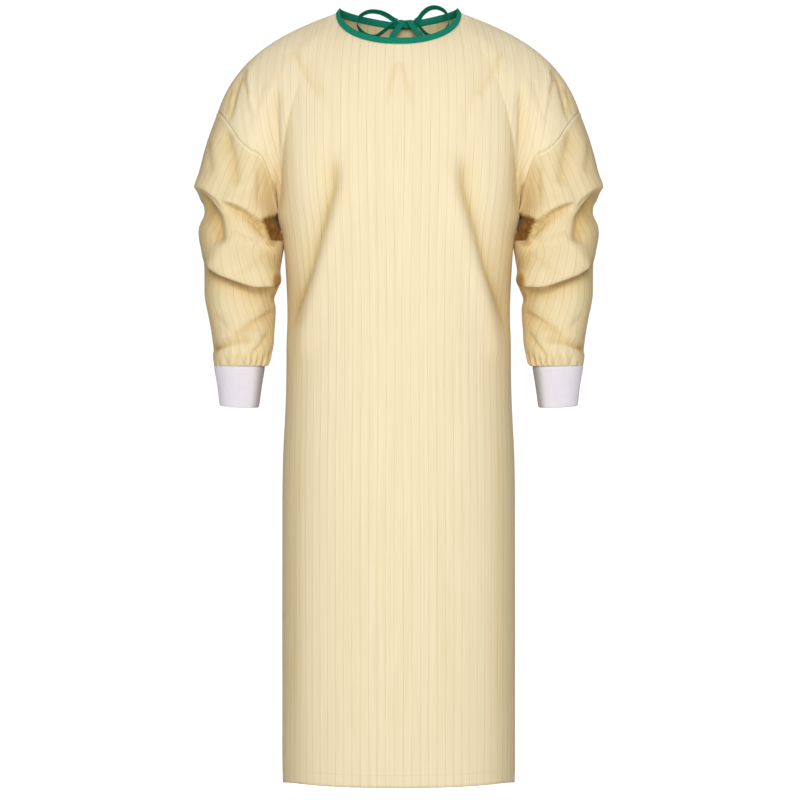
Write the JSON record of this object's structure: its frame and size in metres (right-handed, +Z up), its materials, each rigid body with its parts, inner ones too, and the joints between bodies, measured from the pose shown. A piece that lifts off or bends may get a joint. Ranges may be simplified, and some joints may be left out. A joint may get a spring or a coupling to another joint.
{
  "type": "isolation gown",
  "caption": "Long-sleeved cloth gown that closes at the back, with a bound round neck tied in a bow, dropped shoulders and rib-knit cuffs, in the hollow form it has when worn.",
  "frame": {"origin": "Midway between the two points where the neck edge crosses the tops of the shoulders, which is where the wearer holds the gown up.", "axes": "+Z is up, the front of the gown faces -Y and its back +Y, and +X is the wearer's left."},
  "size_m": [0.654, 0.2599, 1.2456],
  "materials": {
    "gown_cloth": "matte woven cloth, pale yellow with fine grey pinstripes",
    "rib_knit": "matte white rib knit",
    "green_tape": "matte green bias tape"
  },
  "bodies": {
    "root": {"front": "gown_cloth", "back_left": "gown_cloth", "back_right": "gown_cloth", "sleeve_left": "gown_cloth", "sleeve_right": "gown_cloth", "cuff_left": "rib_knit", "cuff_right": "rib_knit", "neck_binding": "green_tape", "neck_knot": "green_tape", "neck_loop_left": "green_tape", "neck_loop_right": "green_tape", "neck_tail_left": "green_tape", "neck_tail_right": "green_tape", "waist_tie_left": "green_tape", "waist_tie_right": "green_tape"}
  },
  "joints": []
}
